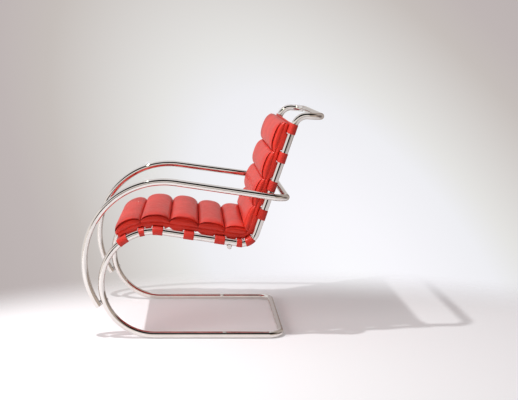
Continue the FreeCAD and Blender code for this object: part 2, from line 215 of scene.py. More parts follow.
def leather(name, colour, shade, grain, roughness, crease_depth):
    """Pigment-finished cowhide: even colour, a pebbled grain, soft creases and a low gloss. Its grain and
    crease depth are in millimetres."""
    material, tree, place = new_material(name)
    # Hide tone drifts over about 120 mm
    drift = add_node(tree, "TexNoise", {"Vector": place, "Scale": 8.0, "Detail": 3.0})
    tone = mixed(tree, ranged(tree, drift, 0.3, 0.7), colour, shade)
    # Pebbles of the grain, each cell as wide as the grain size given
    pebble = add_node(tree, "TexVoronoi", {"Vector": place, "Scale": 1 / (grain * MM)},
                      feature="DISTANCE_TO_EDGE")
    grained = mixed(tree, ranged(tree, pebble, 0.0, 0.25, 0.3, 0.0), tone, shade)
    # Handling creases about 20 mm long
    crease = add_node(tree, "TexNoise", {"Vector": place, "Scale": 50.0, "Detail": 5.0, "Roughness": 0.6,
                                         "Distortion": 0.4})
    rough = ranged(tree, crease, 0.3, 0.7, roughness - 0.05, roughness + 0.07)
    soft = add_node(tree, "Bump", {"Strength": 0.35, "Distance": crease_depth * MM, "Height": crease})
    fine = add_node(tree, "Bump", {"Strength": 0.15, "Distance": 0.0003, "Height": pebble, "Normal": soft})
    principled(tree, Base_Color=grained, Roughness=rough, IOR=1.45, Specular_IOR_Level=0.5, Coat_Weight=0.14,
               Coat_Roughness=0.2, Normal=fine)
    return material


def waxed_thread(colour):
    """Waxed polyester thread, dyed to the leather: slightly glossy, with a ply twist."""
    material, tree, place = new_material("waxed_thread")
    # Plies turn once in 1 mm
    twist = add_node(tree, "TexWave", {"Vector": place, "Scale": 160.0}, bands_direction="DIAGONAL")
    principled(tree, Base_Color=mixed(tree, twist.outputs["Fac"], colour, "#7c150e"), Roughness=0.5)
    return material


class TubeLine:
    """A tube's centreline in millimetres, as straights and bends that each start where the last one ended."""

    def __init__(self, start, heading):
        self.point = Vector(start)
        self.heading = Vector(heading)
        self.length = 0.0
        self.legs = []

    def straight(self, distance):
        self.legs.append((self.length, distance, self.point.copy(), self.heading.copy(), None, None))
        self.point = self.point + self.heading * distance
        self.length += distance

    def bend(self, radius, degrees, axis):
        centre = self.point + axis.cross(self.heading) * radius
        distance = radius * math.radians(degrees)
        self.legs.append((self.length, distance, self.point.copy(), self.heading.copy(), centre, axis))
        turn = Quaternion(axis, math.radians(degrees))
        self.point = centre + turn @ (self.point - centre)
        self.heading = turn @ self.heading
        self.length += distance

    def bend_to(self, radius, heading):
        axis = self.heading.cross(heading).normalized()
        self.bend(radius, math.degrees(self.heading.angle(heading)), axis)

    def at(self, distance):
        """Point and heading at a distance along the line."""
        leg = self.legs[-1]
        for candidate in self.legs:
            if distance <= candidate[0] + candidate[1]:
                leg = candidate
                break
        begin, _, point, heading, centre, axis = leg
        along = distance - begin
        if centre is None:
            return point + heading * along, heading
        turn = Quaternion(axis, along / (point - centre).length)
        return centre + turn @ (point - centre), turn @ heading

    def beside(self, distance, offset):
        """Point in the side view, moved off the line to the side on which the cushion lies."""
        point, heading = self.at(distance)
        return Vector((point.x - heading.z * offset, 0, point.z + heading.x * offset))

    def stops(self, bend_step):
        """Distances that are close together in the bends and only at the ends of the straights."""
        found = [0.0]
        for begin, distance, point, _, centre, _ in self.legs:
            count = 1
            if centre is not None:
                angle = distance / (point - centre).length
                count = max(2, math.ceil(angle / math.radians(bend_step)))
            found += [begin + distance * (i + 1) / count for i in range(count)]
        return found


def side_heading(degrees):
    """Direction in the side view, measured up from the chair's backward direction."""
    return Vector((math.cos(math.radians(degrees)), 0, math.sin(math.radians(degrees))))


def frame_line():
    """Left half of the side frame, from the middle of the floor bar to the middle of the top bar."""
    line = TubeLine((FLOOR_BAR_X, -MIDDLE_GAP, TUBE_RADIUS), LEFT)
    line.straight(BAR_STRAIGHT)
    line.bend_to(CORNER_RADIUS, FORWARD)
    line.straight(RUNNER)
    line.bend(FRONT_RADIUS, 180.0 + SEAT_SLOPE, ACROSS)
    line.straight(RAIL)
    line.bend_to(REAR_RADIUS, side_heading(90.0 - BACK_LEAN))
    line.straight(UPRIGHT)
    line.bend_to(TOP_RADIUS, side_heading(-TOP_DROOP))
    line.straight(TOP_REACH)
    line.bend_to(CORNER_RADIUS, ACROSS)
    line.straight(BAR_STRAIGHT)
    return line


def arm_line():
    """Left arm, from its lower end to the middle of the bar behind the back."""
    splay = Quaternion(UP, math.radians(-ARM_SPLAY))
    line = TubeLine(ARM_START, splay @ side_heading(ARM_RISE))
    line.bend(ARM_RADIUS, ARM_TURN, splay @ ACROSS)
    line.straight(ARM_STRAIGHT)
    line.bend_to(CORNER_RADIUS, ACROSS)
    line.straight(ARM_BAR_STRAIGHT)
    return line


LINE = frame_line()
RAIL_START = LINE.legs[4][0]
REAR_BEND = LINE.legs[5]
UPRIGHT_LEG = LINE.legs[6]
CREASE = REAR_BEND[0] + REAR_BEND[1] / 2


def linked(name, data):
    """New object in the scene."""
    item = bpy.data.objects.new(name, data)
    bpy.context.scene.collection.objects.link(item)
    return item


def plain_object(name, mesh, material):
    """Puts a mesh in the scene as a smooth-shaded object at the origin."""
    piece = linked(name, mesh)
    mesh.materials.clear()
    mesh.materials.append(material)
    for polygon in mesh.polygons:
        polygon.use_smooth = True
    return piece


def mesh_from(name, points, faces, shares=None):
    """Mesh from points in millimetres, with doubles merged and all faces outward. Shares, where given, say
    how freely each point may swell and are kept as an attribute."""
    mesh = bpy.data.meshes.new(name)
    mesh.from_pydata([Vector(p) * MM for p in points], [], faces)
    if shares:
        mesh.attributes.new("free", "FLOAT", "POINT").data.foreach_set("value", shares)
    body = bmesh.new()
    body.from_mesh(mesh)
    bmesh.ops.remove_doubles(body, verts=body.verts, dist=SAME_POINT * MM)
    bmesh.ops.dissolve_degenerate(body, edges=body.edges, dist=NO_LENGTH * MM)
    bmesh.ops.recalc_face_normals(body, faces=body.faces)
    body.to_mesh(mesh)
    body.free()
    return mesh


def bridge(rings, closed_ring=True):
    """Faces between rings of points that are stored one after another, all of one length."""
    count = len(rings[0])
    faces = []
    for row in range(len(rings) - 1):
        for i in range(count if closed_ring else count - 1):
            j = (i + 1) % count
            faces.append((row * count + i, row * count + j, (row + 1) * count + j, (row + 1) * count + i))
    return faces


def joined_points(rings):
    """All the points of the rings in one list."""
    return [point for ring in rings for point in ring]


def closed_mesh(name, rings):
    """Closed mesh over rings of points in millimetres, with a flat face over the first and last ring."""
    count = len(rings[0])
    faces = bridge(rings)
    faces.append(tuple(range(count)))
    faces.append(tuple(range((len(rings) - 1) * count, len(rings) * count)))
    return mesh_from(name, joined_points(rings), faces)


def mirrored_mesh(name, mesh):
    """Copy of a mesh on the other side of the chair, faces outward again."""
    other = mesh.copy()
    other.name = name
    other.transform(Matrix.Scale(-1, 4, ACROSS))
    other.flip_normals()
    return other


# Geometry Nodes

def node_tree(name, **sockets):
    """New tree with a geometry in and out and the inputs named, and the sockets of all its inputs."""
    tree = bpy.data.node_groups.new(name, "GeometryNodeTree")
    for way in ("INPUT", "OUTPUT"):
        tree.interface.new_socket("Geometry", in_out=way, socket_type="NodeSocketGeometry")
    for label, kind in sockets.items():
        tree.interface.new_socket(label, in_out="INPUT", socket_type="NodeSocket" + kind)
    return tree, add_node(tree, "NodeGroupInput").outputs


def close_tree(tree, given, geometry):
    """Ends a tree in plain geometry with its material set."""
    real = add_node(tree, "RealizeInstances", {0: geometry})
    painted = add_node(tree, "SetMaterial", {"Geometry": real, "Material": given["Material"]})
    smooth = add_node(tree, "SetShadeSmooth", {"Geometry": painted})
    add_node(tree, "NodeGroupOutput", {0: smooth})
    return tree


def piping_tree():
    """Round welt along every line of the geometry that comes in."""
    tree, given = node_tree("welt_piping", Radius="Float", Material="Material")
    line = add_node(tree, "MeshToCurve", {"Mesh": given["Geometry"]})
    ring = add_node(tree, "CurvePrimitiveCircle", {"Resolution": 10, "Radius": given["Radius"]})
    welt = add_node(tree, "CurveToMesh", {"Curve": line, "Profile Curve": ring, "Fill Caps": True})
    return close_tree(tree, given, welt)


def stitch_tree():
    """Short thread lengths laid end to end along every line, with a gap between them."""
    tree, given = node_tree("hand_stitches", Spacing="Float", Length="Float", Thickness="Float",
                            Material="Material")
    line = add_node(tree, "MeshToCurve", {"Mesh": given["Geometry"]})
    dots = add_node(tree, "CurveToPoints", {"Curve": line, "Length": given["Spacing"]}, mode="LENGTH")
    thread = add_node(tree, "MeshCylinder", {"Vertices": 6, "Radius": given["Thickness"],
                                             "Depth": given["Length"]})
    laid = add_node(tree, "InstanceOnPoints", {"Points": dots, "Instance": thread,
                                               "Rotation": dots.outputs["Rotation"]})
    return close_tree(tree, given, laid)


def rivet_tree():
    """A low domed rivet head on every point, its dome along the point's own direction."""
    tree, given = node_tree("strap_rivets", Radius="Float", Height="Float", Material="Material")
    dome = add_node(tree, "MeshUVSphere", {"Segments": 16, "Rings": 8, "Radius": 1.0})
    shape = add_node(tree, "ShaderNodeCombineXYZ", {"X": given["Radius"], "Y": given["Radius"],
                                                    "Z": given["Height"]})
    flat = add_node(tree, "Transform", {"Geometry": dome, "Scale": shape})
    facing = add_node(tree, "InputNamedAttribute", {"Name": "facing"}, data_type="FLOAT_VECTOR")
    turn = add_node(tree, "FunctionNodeAlignRotationToVector", {"Vector": facing}, axis="Z")
    laid = add_node(tree, "InstanceOnPoints", {"Points": given["Geometry"], "Instance": flat,
                                               "Rotation": turn})
    return close_tree(tree, given, laid)


def grown(name, mesh, tree, values):
    """Runs a Geometry Nodes tree on a mesh and keeps the result as a plain mesh."""
    carrier = linked(name + "_carrier", mesh)
    modifier = carrier.modifiers.new(name, "NODES")
    modifier.node_group = tree
    for item in tree.interface.items_tree:
        if item.in_out == "INPUT" and item.name in values:
            modifier[item.identifier] = values[item.name]
    graph = bpy.context.evaluated_depsgraph_get()
    result = bpy.data.meshes.new_from_object(carrier.evaluated_get(graph))
    carrier.modifiers.clear()
    bpy.data.objects.remove(carrier)
    result.name = name
    return linked(name, result)


def line_mesh(name, lines):
    """Loose edges through each list of points, in millimetres."""
    points, edges = [], []
    for line in lines:
        base = len(points)
        points += [Vector(p) * MM for p in line]
        edges += [(base + i, base + i + 1) for i in range(len(line) - 1)]
    mesh = bpy.data.meshes.new(name)
    mesh.from_pydata(points, edges, [])
    return mesh


# Settings

def length_setting(name, description, default, least=0.0):
    """Length in metres that the sidebar can change."""
    return FloatProperty(name=name, description=description, default=default, min=least, unit="LENGTH")


def colour_setting(name, description, hex_code):
    """Colour that the sidebar can change."""
    return FloatVectorProperty(name=name, description=description, default=linear(hex_code), size=4, min=0,
                               max=1, subtype="COLOR")


class ChairTubeSettings(bpy.types.PropertyGroup):
    tube_radius: length_setting("Tube radius", "Outside radius of the chrome tube", TUBE_RADIUS * MM, 0.005)
    bend_step: FloatProperty(name="Bend step", description="Angle between rings in the bends, in degrees",
                             default=3.0, min=1.0)
    sides: IntProperty(name="Sides", description="Points round the tube", default=48, min=12)


class ChairCushionSettings(bpy.types.PropertyGroup):
    fullness: FloatProperty(name="Fullness", default=0.96, min=0.2, subtype="FACTOR",
                            description="Share of a roll's height that it has before stuffing")
    swell: length_setting("Swell", "Most that the stuffing pushes the leather out", 0.003)
    pressure: FloatProperty(name="Pressure", description="Pressure of the stuffing in the cloth simulation",
                            default=4.0)
    frames: IntProperty(name="Frames", description="Steps of the cloth simulation", default=20)
    welt_radius: length_setting("Welt radius", "Radius of the leather welts", 0.0015)
    leather_colour: colour_setting("Leather", "Colour of the cushion's leather", "#d72d1a")
    leather_shade: colour_setting("Leather shade", "Deeper tone in the grain and hide", "#ba2212")


class ChairStrapSettings(bpy.types.PropertyGroup):
    thickness: length_setting("Thickness", "Thickness of the strap leather", 0.0032, 0.001)
    strap_colour: colour_setting("Strap", "Colour of the strap leather", "#cc2a1a")
    strap_shade: colour_setting("Strap shade", "Deeper tone of the strap leather", "#b01f12")


class ChairStageSettings(bpy.types.PropertyGroup):
    key_power: FloatProperty(name="Key lamp", description="Power of the small hard lamp", default=38.0,
                             unit="POWER")
    softbox_power: FloatProperty(name="Softbox", description="Power of the wide lamp at the front left",
                                 default=78.0, unit="POWER")
    ambient: FloatProperty(name="Ambient", description="Strength of the room's even light", default=0.4)
    floor_colour: colour_setting("Floor", "Colour of the floor", "#ececee")


# Tubes

def tube_rings(line, radius, sides, step):
    """Rings of points round a line, in millimetres, carried along it without twist."""
    rings = []
    side = None
    for distance in line.stops(step):
        point, heading = line.at(distance)
        if side is None:
            side = heading.cross(UP)
            if side.length < 0.1:
                side = heading.cross(ACROSS)
        side = (side - heading * side.dot(heading)).normalized()
        other = heading.cross(side)
        ring = []
        for i in range(sides):
            angle = 2 * math.pi * i / sides
            ring.append(point + (side * math.cos(angle) + other * math.sin(angle)) * radius)
        rings.append(ring)
    return rings


def scaled_ring(ring, share, along):
    """A ring shrunk toward its own middle and moved along."""
    middle = sum(ring, Vector()) / len(ring)
    return [middle + (point - middle) * share + along for point in ring]


def tube_mesh(name, line, settings, bored_start):
    """Smooth tube with a small chamfer at each end, and a bore for a plug where it has one."""
    radius = settings.tube_radius / MM
    rings = tube_rings(line, radius, settings.sides, settings.bend_step)
    start_heading = line.legs[0][3]
    edge = (radius - TUBE_CHAMFER) / radius
    bore = (radius - TUBE_WALL) / radius
    opened = [scaled_ring(rings[0], bore, Vector()), scaled_ring(rings[0], edge, Vector())]
    if bored_start:
        opened.insert(0, scaled_ring(rings[0], bore, start_heading * BORE_DEPTH))
    rings[0] = [p + start_heading * TUBE_CHAMFER for p in rings[0]]
    closed = [scaled_ring(rings[-1], edge, Vector()), scaled_ring(rings[-1], bore, Vector())]
    rings[-1] = [p - line.heading * TUBE_CHAMFER for p in rings[-1]]
    return closed_mesh(name, opened + rings + closed)


class CHAIR_OT_tubes(bpy.types.Operator):
    """Chrome side frames and arms, bent from tube"""
    bl_idname = "chair.tubes"
    bl_label = "Tubes"

    def execute(self, context):
        settings = context.scene.chair_tubes
        chrome = polished_chrome()
        for part, line, bored in (("frame_tube", LINE, False), ("arm_tube", arm_line(), True)):
            mesh = tube_mesh(part, line, settings, bored)
            meshes = {"left": mesh, "right": mirrored_mesh(part + "_right", mesh)}
            for side, body in meshes.items():
                piece = plain_object(f"bent_{part}_{side}", body, chrome)
                piece.data.set_sharp_from_angle(angle=math.radians(CRISP_ANGLE))
                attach(piece, "root")
                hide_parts(f"{part}_{side}")
        return {"FINISHED"}


class CHAIR_OT_fittings(bpy.types.Operator):
    """Finishes for the sleeves, screws, washers, plugs and cross bar"""
    bl_idname = "chair.fittings"
    bl_label = "Fittings"

    def execute(self, context):
        steel = turned_steel()
        nylon = moulded_nylon()
        chrome = bpy.data.materials["polished_chrome_plate"]
        for name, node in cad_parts.items():
            finish = None
            if name.endswith(("_sleeve", "_screws", "_washers")):
                finish = steel
            elif name.startswith("arm_plug"):
                finish = nylon
            elif name == "seat_stretcher":
                finish = chrome
            if finish:
                for slot in node.material_slots:
                    slot.material = finish
        return {"FINISHED"}


# Straps

# Degrees that a strap's tail leaves the tube early, and in millimetres the places across the strap's flat
# top, those of the tail that lies flat under it, the rounding of its edges, and where the tail's stitches end
TAIL_TURN = 36.0
TOP_PLACES = (0.0, 60.0, 120.0, 180.0, 225.0, 240.0, 262.0)
TAIL_PLACES = (6.0, 16.0, 25.0, 26.0)
STRAP_EDGE = 0.9
SEAM_OUTER = HALF_WIDTH - 44.0
SEAM_INNER = HALF_WIDTH - 63.0
WRAP_STEPS = 14

# Shares of half a strap's width at which its stitches and rivets lie, with one rivet on a narrow strap
SEAM_SHARES = (-0.8, 0.8)
RIVET_SHARES = (-0.45, 0.45)
NARROW = 25.0

# Stitches and rivets in metres
STITCHES = {"Spacing": 0.0038, "Length": 0.0027, "Thickness": 0.0004}
RIVETS = {"Radius": 0.004, "Height": 0.0013}


def strap_path(side, thickness):
    """Half of a strap's middle line as (across, height, normal), from the chair's middle over the rail, round
    it and back under to the riveted tail."""
    centre = STRAP_INNER + thickness / 2
    found = [(y, centre, (0.0, 1.0)) for y in TOP_PLACES]
    turn = math.radians(TAIL_TURN)
    for i in range(WRAP_STEPS + 1):
        angle = math.pi / 2 - (math.pi - turn) * i / WRAP_STEPS
        normal = (math.cos(angle), math.sin(angle))
        found.append((HALF_WIDTH + centre * normal[0], centre * normal[1], normal))
    rise = math.sin(turn)
    run = math.cos(turn)
    top = STRAP_INNER - thickness / 2
    under = centre * run
    length = (top + under) / rise
    start = HALF_WIDTH - centre * rise
    for share in (0.35, 0.7, 0.93):
        found.append((start - length * share * run, -under + length * share * rise, (-rise, -run)))
    knee = start - length * run
    found.append((knee - 1.0, top - 0.35, (-0.3, -0.954)))
    found += [(knee - inward, top, (0.0, -1.0)) for inward in TAIL_PLACES]
    return [(side * y, height, (side * n[0], n[1])) for y, height, n in found]


def strap_mesh(name, station, width, thickness):
    """A strap with rounded edges, laid over both rails and wrapped back under each."""
    path = strap_path(-1, thickness)[::-1] + strap_path(1, thickness)[1:]
    half = thickness / 2
    spots = [(-1.0, 0.35), (-1.0 + STRAP_EDGE / width, 0.8), (-1.0 + 2.4 * STRAP_EDGE / width, 1.0)]
    spots += [(share, 1.0) for share in (-0.6, -0.2, 0.2, 0.6)]
    spots += [(-share, high) for share, high in spots[:3][::-1]]
    round_strap = [(share, high * half, 1) for share, high in spots]
    round_strap += [(share, high * half, -1) for share, high in spots[::-1]]
    rings = []
    for y, height, normal in path:
        ring = []
        for share, high, sign in round_strap:
            spot = LINE.beside(RAIL_START + station + share * width / 2, height + sign * normal[1] * high)
            ring.append(Vector((spot.x, y + sign * normal[0] * high, spot.z)))
        rings.append(ring)
    return closed_mesh(name, rings)


def strap_seams(station, width, thickness):
    """Lines of stitches on a strap's underside tails, and the places of its rivets."""
    lines, rivets = [], []
    height = STRAP_INNER - thickness - 0.1
    middle = (SEAM_OUTER + SEAM_INNER) / 2
    rivet_shares = RIVET_SHARES if width > NARROW else (0.0,)
    for side in (-1, 1):
        for share in SEAM_SHARES:
            spot = LINE.beside(RAIL_START + station + share * width / 2, height)
            lines.append([(spot.x, side * y, spot.z) for y in (SEAM_OUTER, middle, SEAM_INNER)])
        for share in rivet_shares:
            distance = RAIL_START + station + share * width / 2
            spot = LINE.beside(distance, height)
            below = LINE.beside(distance, height - 1) - spot
            rivets.append(((spot.x, side * middle, spot.z), below))
    return lines, rivets


class CHAIR_OT_straps(bpy.types.Operator):
    """Leather straps round the rails and uprights, with stitches and rivets under the tails"""
    bl_idname = "chair.straps"
    bl_label = "Straps"

    def execute(self, context):
        settings = context.scene.chair_straps
        thickness = settings.thickness / MM
        hide = leather("strap_harness_leather", settings.strap_colour, settings.strap_shade, 1.6, 0.55, 0.4)
        seams, rivets = [], []
        for kind, places in STRAPS.items():
            for number, (station, width) in enumerate(places, 1):
                node = f"{kind}_{number}"
                mesh = strap_mesh("leather_" + node, station, width, thickness)
                piece = plain_object("leather_" + node, mesh, hide)
                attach(piece, "root")
                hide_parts(node)
                lines, heads = strap_seams(station, width, thickness)
                seams += lines
                rivets += heads
        thread = waxed_thread(settings.strap_colour)
        stitches = grown("strap_stitches", line_mesh("strap_seams", seams), stitch_tree(),
                         {**STITCHES, "Material": thread})
        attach(stitches, "root")
        mesh = bpy.data.meshes.new("rivet_places")
        mesh.from_pydata([Vector(place) * MM for place, _ in rivets], [], [])
        facing = mesh.attributes.new("facing", "FLOAT_VECTOR", "POINT")
        for item, (_, direction) in zip(facing.data, rivets):
            item.vector = direction
        heads = grown("strap_rivets", mesh, rivet_tree(),
                      {**RIVETS, "Material": bpy.data.materials["turned_steel"]})
        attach(heads, "root")
        return {"FINISHED"}


# Cushion

# Millimetres: height of a roll beside its valleys and of its end band, the line from which the recess over
# the band goes in, the height at which it is full, how far a corner is drawn in, and half of the gap between
# rolls before stuffing and after it
ROLL_SIDE = 7.0
BAND_HEIGHT = 20.0
RECESS_INSET = 11.0
RECESS_FULL = 6.0
CORNER_DRAWN = 3.0
ROLL_GAP = 0.35
STUFFED_GAP = 0.3

# Height of the lip as a share of the crown's, and how many faces a roll has across it and along its middle
LIP_SHARE = 0.78
ROLL_COLUMNS = 30
MIDDLE_ROWS = 44

# A roll's end as (inset in millimetres, share of the height): its band, the recess, and the lip of the upper
# leather up to the crown
BAND_STEPS = ((3.6, 0.0), (1.2, 0.09), (0.2, 0.26), (0.0, 0.46), (0.6, 0.66), (2.4, 0.84), (5.2, 0.95),
              (8.5, 1.0))
RECESS_STEPS = ((15.5, 0.05), (17.5, 0.3), (15.5, 0.66), (10.6, 0.9))
LIP_STEPS = ((8.2, 0.0), (9.6, 0.16), (13.5, 0.36), (19.0, 0.58), (28.0, 0.78), (42.0, 0.92), (60.0, 1.0))
WELT_ROW = len(BAND_STEPS) - 1

# Cloth of the stuffed rolls, and their gathers: how often they come per metre and their share of the depth
CLOTH = {"quality": 5, "mass": 0.3, "tension_stiffness": 12, "compression_stiffness": 12,
         "bending_stiffness": 0.6, "use_pressure": True, "vertex_group_mass": "held"}
GATHERS = ((Vector((9.0, 34.0, 9.0)), 0.45), (Vector((12.0, 7.0, 12.0)), 0.9))

# Millimetres in from the sides, and share of half the width, over which a roll is held or freed
HELD_SIDE = 12.0
FREED_OVER = 60.0
HELD_VALLEY = 0.97
FREED_SHARE = 0.3

# Backing in millimetres: rounding of its edges, lift in the valleys, sag of its underside between straps, how
# far from a strap and an end the sag is full, and between which places across it grows to its full depth
BACKING_ROUND = 6.0
BACKING_LIFT = 2.0
BACKING_SAG = 9.5
SAG_FROM_STRAP = 5.0
SAG_FROM_END = 20.0
SAG_GROWS = (150.0, 260.0)
SAG_MIDDLE = 0.4
BACKING_STEPS = 190
BACKING_FLAT = [-240, -200, -150, -100, -50, 0, 50, 100, 150, 200, 240]

# Welts in millimetres: how far the lower ones stand out, and the places across of those at the cushion's ends
WELT_OUT = 1.5
END_WELT = range(-264, 265, 22)


def straight_line(start, heading, length):
    """A line of one straight."""
    line = TubeLine(start, heading)
    line.straight(length)
    return line


def roll_places():
    """Each roll's name, the line it lies on, where on it the roll starts and ends, its side of the crease (-1
    or 1, and 0 for a roll away from it), and its height."""
    seat = [RAIL_START + station for station in SEAT_BOUNDS]
    back = [RAIL_START + station for station in BACK_BOUNDS]
    places = [(f"seat_roll_{i + 1}", LINE, seat[i], seat[i + 1], 0, SEAT_CROWNS[i]) for i in range(4)]
    point, heading = LINE.at(seat[4])
    width = RAIL - SEAT_BOUNDS[4] + SEAT_PAST_RAIL
    places.append(("seat_roll_5", straight_line(point, heading, width), 0.0, width, -1, SEAT_CROWNS[4]))
    point, heading = LINE.at(back[0])
    width = back[0] - UPRIGHT_LEG[0] + BACK_PAST_UPRIGHT
    line = straight_line(point - heading * width, heading, width)
    places.append(("back_roll_1", line, 0.0, width, 1, BACK_CROWNS[0]))
    places += [(f"back_roll_{i + 2}", LINE, back[i], back[i + 1], 0, BACK_CROWNS[i + 1]) for i in range(3)]
    return places


def arch(t):
    """Share of a roll's height at t, from -1 to 1 across its width: round shoulders and a flatter crown."""
    return max(0.0, 1.0 - abs(t) ** 2.5) ** 0.52


def band(t):
    """Share of the end band's height at t: a lens, highest in the middle."""
    return 0.36 + 0.64 * max(0.0, 1.0 - abs(t) ** 2.6) ** 0.7


def smooth_share(value):
    """Eases from 0 to 1 as a value goes from 0 to 1."""
    value = min(1.0, max(0.0, value))
    return value * value * (3 - 2 * value)


def end_profile(t, crown):
    """Points from the seam on the backing, out over the puffed band, into the shadowed recess and out over
    the lip of the upper leather, as (inset from the cushion's side, height)."""
    top = BAND_HEIGHT * band(t)
    lip = max(ROLL_SIDE + (crown * LIP_SHARE - ROLL_SIDE) * arch(t), top + 0.5)
    height = max(ROLL_SIDE + (crown - ROLL_SIDE) * arch(t), lip)
    drawn = CORNER_DRAWN * abs(t) ** 4
    depth = min(1.0, (lip - top) / RECESS_FULL)
    found = [(inset + drawn, top * share) for inset, share in BAND_STEPS]
    for inset, share in RECESS_STEPS:
        found.append((RECESS_INSET + (inset - RECESS_INSET) * depth + drawn, top + (lip - top) * share))
    found += [(inset + drawn * (1 - share), lip + (height - lip) * share) for inset, share in LIP_STEPS]
    return found


def roll_grid(low, high, crown):
    """Rows of points (station, across, height) from side to side of the chair, each row across the roll."""
    shares = [math.sin(math.pi / 2 * (2 * i / ROLL_COLUMNS - 1)) for i in range(ROLL_COLUMNS + 1)]
    profiles = [end_profile(t, crown) for t in shares]
    count = len(profiles[0])
    steps = [(row, -1.0) for row in range(count)]
    steps += [(-1, 2 * step / MIDDLE_ROWS - 1) for step in range(1, MIDDLE_ROWS)]
    steps += [(row, 1.0) for row in range(count)[::-1]]
    middle = (low + high) / 2
    reach = (high - low) / 2 - ROLL_GAP
    rows = []
    for step, side_share in steps:
        points = []
        for t, profile in zip(shares, profiles):
            inset, height = profile[step]
            points.append((middle + t * reach, (CUSHION_HALF - inset) * side_share, height))
        rows.append(points)
    return rows


def press(point, side):
    """Keeps a point of a roll beside the crease off its neighbour and off the backing."""
    corner = LINE.beside(REAR_BEND[0] + CREASE_SHARE * REAR_BEND[1], ROLL_FLOOR)
    heading = side_heading(CREASE_LEAN)
    rail = LINE.legs[4][3]
    upright = UPRIGHT_LEG[3]
    own = rail if side < 0 else upright
    past = (point - corner).dot(heading) * -side + ROLL_GAP
    if past > 0:
        point = point + own * (side * past / own.dot(heading))
    centre = REAR_BEND[4]
    out = Vector((point.x - centre.x, 0, point.z - centre.z))
    limit = REAR_RADIUS - ROLL_FLOOR
    if out.dot(rail) > 0 > out.dot(upright) and out.length > limit:
        out = out.normalized() * limit
        point = Vector((centre.x + out.x, point.y, centre.z + out.z))
    return point


def placed(line, spot, side):
    """A roll's point in space, from its (station, across, height)."""
    station, y, height = spot
    point = line.beside(station, ROLL_FLOOR + height)
    if side:
        point = press(point, side)
    point.y = y
    return point


def free_share(spot, low, high):
    """How freely a point of a roll may swell: not at the end bands and valleys, and fully on the crown."""
    station, y, _ = spot
    across = abs(2 * (station - low) / (high - low) - 1)
    from_side = smooth_share((CUSHION_HALF - abs(y) - HELD_SIDE) / FREED_OVER)
    return from_side * smooth_share((HELD_VALLEY - across) / FREED_SHARE)


def roll_mesh(name, line, low, high, side, crown):
    """Closed roll, with how freely each point may swell kept as an attribute, and the points of its top."""
    rows = roll_grid(low, high, crown)
    top = [[placed(line, spot, side) for spot in row] for row in rows]
    bottom = [[placed(line, (station, y, 0.0), side) for station, y, _ in row] for row in rows]
    columns = len(rows[0])
    base = len(rows) * columns
    shares = [free_share(spot, low, high) for row in rows for spot in row] + [0.0] * base
    faces = bridge(top, closed_ring=False)
    for row in range(len(rows) - 1):
        for i in range(columns - 1):
            a = base + row * columns + i
            faces.append((a, a + columns, a + columns + 1, a + 1))
        for i in (0, columns - 1):
            a = row * columns + i
            faces.append((a, a + columns, base + a + columns, base + a))
    return mesh_from(name, joined_points(top + bottom), faces, shares), top


def kept_inside(point, line, low, high, side):
    """A swollen point, moved back where it would enter the next roll."""
    for distance, inward in ((low, 1), (high, -1)):
        origin, heading = line.at(distance)
        past = STUFFED_GAP - (point - origin).dot(heading) * inward
        if past > 0:
            point = point + heading * inward * past
    return press(point, side) if side else point


def swell(piece, settings, line, low, high, side):
    """Stuffs a roll: cloth under pressure, held at its seams, with each point's travel capped."""
    mesh = piece.data
    rest = [v.co.copy() for v in mesh.vertices]
    shares = [item.value for item in mesh.attributes["free"].data]
    group = piece.vertex_groups.new(name="held")
    for index, share in enumerate(shares):
        group.add([index], 1.0 - share, "REPLACE")
    cloth = piece.modifiers.new("stuffing", "CLOTH")
    for name, value in CLOTH.items():
        setattr(cloth.settings, name, value)
    cloth.settings.uniform_pressure_force = settings.pressure
    cloth.settings.effector_weights.gravity = 0.0
    cloth.point_cache.frame_start = 1
    cloth.point_cache.frame_end = settings.frames
    scene = bpy.context.scene
    for number in range(1, settings.frames + 1):
        scene.frame_set(number)
    graph = bpy.context.evaluated_depsgraph_get()
    result = bpy.data.meshes.new_from_object(piece.evaluated_get(graph))
    piece.modifiers.clear()
    scene.frame_set(1)
    for vertex, before, share in zip(result.vertices, rest, shares):
        travel = vertex.co - before
        limit = settings.swell * share
        if travel.length > limit:
            travel = travel.normalized() * limit
        point = kept_inside((before + travel) / MM, line, low, high, side)
        mesh.vertices[vertex.index].co = point * MM
    bpy.data.meshes.remove(result)
    piece.vertex_groups.clear()


def pucker(piece, depth):
    """Small gathers that run into the valleys, as stitched leather has, with their depth in millimetres."""
    mesh = piece.data
    mesh.update()
    normals = [v.normal.copy() for v in mesh.vertices]
    shares = [item.value for item in mesh.attributes["free"].data]
    for vertex, normal, free in zip(mesh.vertices, normals, shares):
        drop = sum(noise.noise(vertex.co * rate) * share for rate, share in GATHERS)
        vertex.co += normal * (drop * depth * MM * 4 * free * (1 - free))


def backing_outline():
    """Round-sided outline across the chair: (place across, share up, share down)."""
    edge = []
    for i in range(8):
        angle = math.pi / 2 * i / 8
        edge.append((CUSHION_HALF - BACKING_ROUND + BACKING_ROUND * math.sin(angle), math.cos(angle) ** 0.45))
    outline = [(y, 1.0, 0) for y in BACKING_FLAT] + [(y, s, 0) for y, s in edge] + [(CUSHION_HALF, 0, 0)]
    outline += [(y, 0, s) for y, s in edge[::-1]] + [(y, 0, 1.0) for y in BACKING_FLAT[::-1]]
    outline += [(-y, 0, s) for y, s in edge] + [(-CUSHION_HALF, 0, 0)] + [(-y, s, 0) for y, s in edge[::-1]]
    return outline


